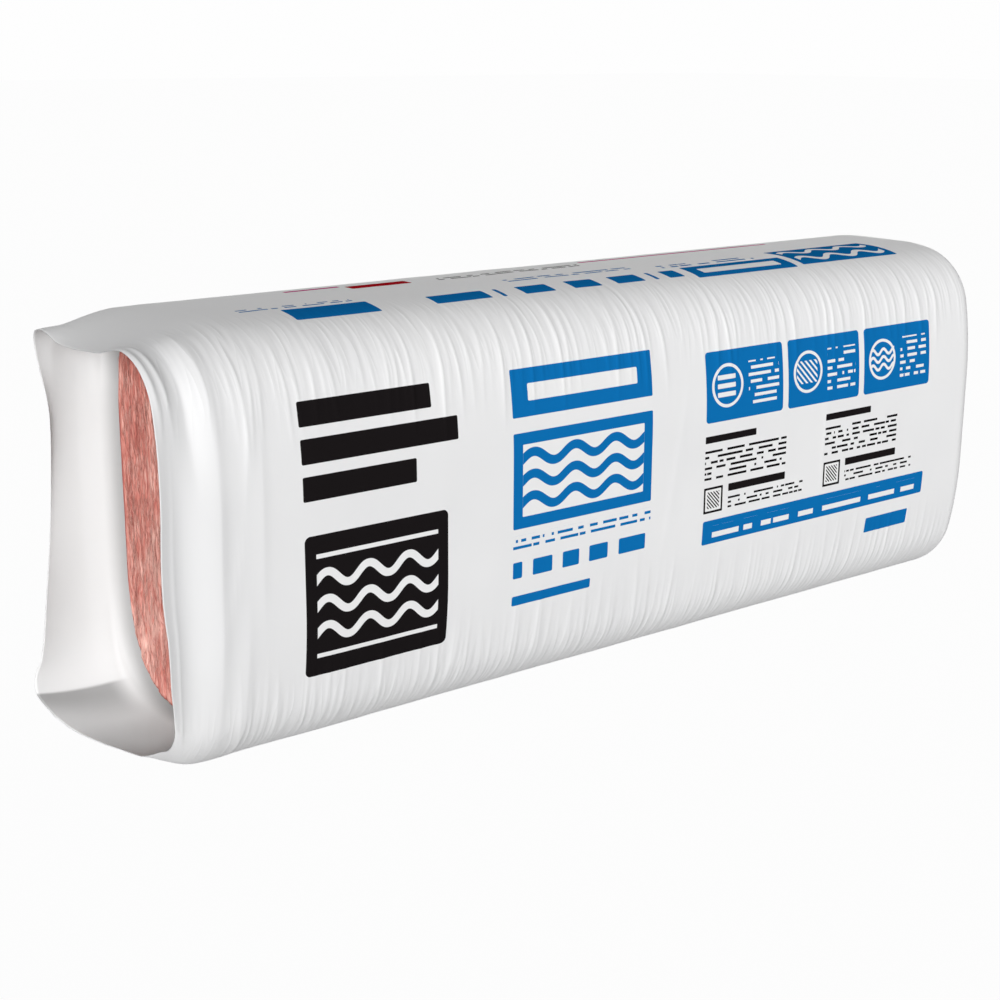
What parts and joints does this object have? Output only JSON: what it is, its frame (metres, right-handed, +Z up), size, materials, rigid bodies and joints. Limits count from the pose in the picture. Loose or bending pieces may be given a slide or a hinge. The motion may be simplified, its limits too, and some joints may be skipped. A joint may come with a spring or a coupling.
{
  "type": "bagged fiberglass batt insulation",
  "caption": "Compressed bundle of folded pink glass-wool batts in a white film bag, open at one end, for insulating walls and floors.",
  "frame": {"origin": "on the floor, under the middle of the bag", "axes": "+X along the bag from its open mouth to its closed end, +Y towards its back side, +Z up"},
  "size_m": [1.3016, 0.34, 0.485],
  "materials": {
    "film": "white polyethylene film with a soft sheen, printed in black and blue",
    "wool": "pink glass wool, matt and fibrous"
  },
  "bodies": {
    "root": {"bag_film": "film", "batt_1": "wool", "batt_2": "wool", "batt_3": "wool", "batt_4": "wool", "batt_5": "wool", "batt_6": "wool", "batt_7": "wool", "batt_8": "wool"}
  },
  "joints": []
}
